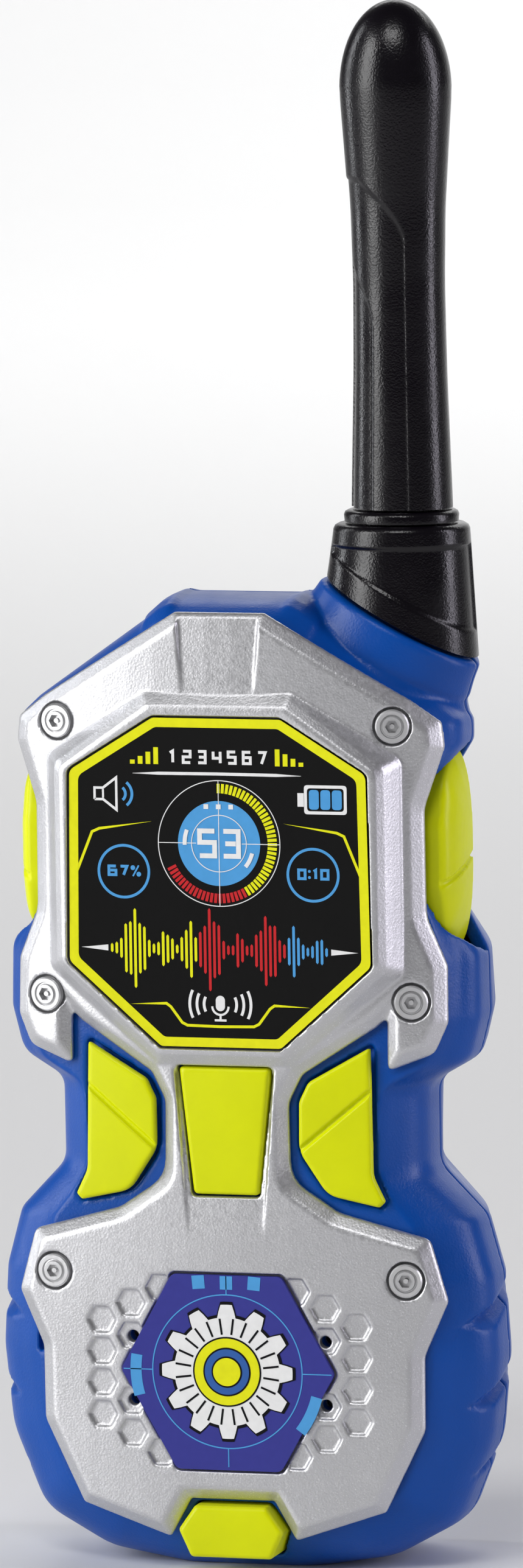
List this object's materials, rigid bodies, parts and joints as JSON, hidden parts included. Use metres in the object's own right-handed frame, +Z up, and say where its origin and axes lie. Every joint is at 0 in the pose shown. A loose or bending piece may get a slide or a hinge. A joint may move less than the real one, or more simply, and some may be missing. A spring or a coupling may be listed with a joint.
{
  "type": "toy walkie talkie",
  "caption": "Hand-held toy two-way radio with an octagonal screen face, press keys, a stubby fixed antenna, a belt clip and a battery door.",
  "frame": {"origin": "on the plane of the flat foot, under the middle of the box round the whole object", "axes": "+X to the object's right seen from the front, the screen faces -Y, +Z up along the antenna"},
  "size_m": [0.0768, 0.0448, 0.2325],
  "materials": {
    "shell_blue": "fine-grained satin",
    "fascia_silver": "silver-pigmented, fine leather grain",
    "key_lime": "smooth satin",
    "antenna_black": "grained satin",
    "screen_black": "printed, semi-gloss",
    "badge_blue": "printed, semi-gloss",
    "steel": "plain",
    "copper": "bright drawn wire",
    "battery_gold": "printed metal jacket",
    "board_green": "solder mask",
    "plain_black": "plain",
    "cone_paper": "pressed paper"
  },
  "bodies": {
    "case": {"antenna_base": "antenna_black", "antenna_mast": "antenna_black", "antenna_ring": "antenna_black", "antenna_wire": "copper", "badge_plate": "badge_blue", "battery": "battery_gold", "battery_snap": "plain_black", "case_screw_1": "steel", "case_screw_2": "steel", "case_screw_3": "steel", "case_screw_4": "steel", "case_screw_5": "steel", "circuit_board": "board_green", "clip_pin": "steel", "clip_spring": "steel", "crystal_can": "steel", "display_panel": "screen_black", "fascia": "fascia_silver", "filter_capacitor": "plain_black", "foot_switch": "steel", "front_shell": "shell_blue", "left_bottom_bolt": "fascia_silver", "left_grip_switch": "steel", "left_middle_bolt": "fascia_silver", "left_side_switch": "steel", "left_top_bolt": "fascia_silver", "loading_coil": "copper", "radio_chip": "plain_black", "rear_shell": "shell_blue", "right_bottom_bolt": "fascia_silver", "right_grip_switch": "steel", "right_middle_bolt": "fascia_silver", "right_side_switch": "steel", "right_top_bolt": "fascia_silver", "speaker_basket": "steel", "speaker_cone": "cone_paper", "speaker_magnet": "plain_black", "talk_switch": "steel", "tuning_can": "steel"},
    "talk_button": {"talk_button": "key_lime"},
    "right_grip_key": {"right_grip_key": "key_lime"},
    "left_grip_key": {"left_grip_key": "key_lime"},
    "right_side_key": {"right_side_key": "key_lime"},
    "left_side_key": {"left_side_key": "key_lime"},
    "foot_key": {"foot_key": "key_lime"},
    "belt_clip": {"belt_clip": "shell_blue"},
    "battery_door": {"battery_door": "shell_blue", "door_screw": "steel"}
  },
  "joints": [
    {"name": "talk_button_press", "type": "slide", "parent": "case", "child": "talk_button", "axis": [0, 1, 0], "range_m": [0, 0.0012], "stiffness_N_per_m": 500, "springref_m": -0.001},
    {"name": "right_grip_key_press", "type": "slide", "parent": "case", "child": "right_grip_key", "axis": [0, 1, 0], "range_m": [0, 0.0012], "stiffness_N_per_m": 500, "springref_m": -0.001},
    {"name": "left_grip_key_press", "type": "slide", "parent": "case", "child": "left_grip_key", "axis": [0, 1, 0], "range_m": [0, 0.0012], "stiffness_N_per_m": 500, "springref_m": -0.001},
    {"name": "right_side_key_press", "type": "slide", "parent": "case", "child": "right_side_key", "axis": [-1, 0, 0], "range_m": [0, 0.0012], "stiffness_N_per_m": 500, "springref_m": -0.001},
    {"name": "left_side_key_press", "type": "slide", "parent": "case", "child": "left_side_key", "axis": [1, 0, 0], "range_m": [0, 0.0012], "stiffness_N_per_m": 500, "springref_m": -0.001},
    {"name": "foot_key_press", "type": "slide", "parent": "case", "child": "foot_key", "axis": [0, 1, 0], "range_m": [0, 0.0012], "stiffness_N_per_m": 500, "springref_m": -0.001},
    {"name": "belt_clip_pivot", "type": "hinge", "parent": "case", "child": "belt_clip", "pos_m": [0, 0.0196, 0.118], "axis": [1, 0, 0], "range_deg": [0, 12], "stiffness_Nm_per_rad": 0.35, "springref_deg": -11.46},
    {"name": "battery_door_hinge", "type": "hinge", "parent": "case", "child": "battery_door", "pos_m": [0, 0.0146, 0.0115], "axis": [-1, 0, 0], "range_deg": [0, 95]}
  ]
}
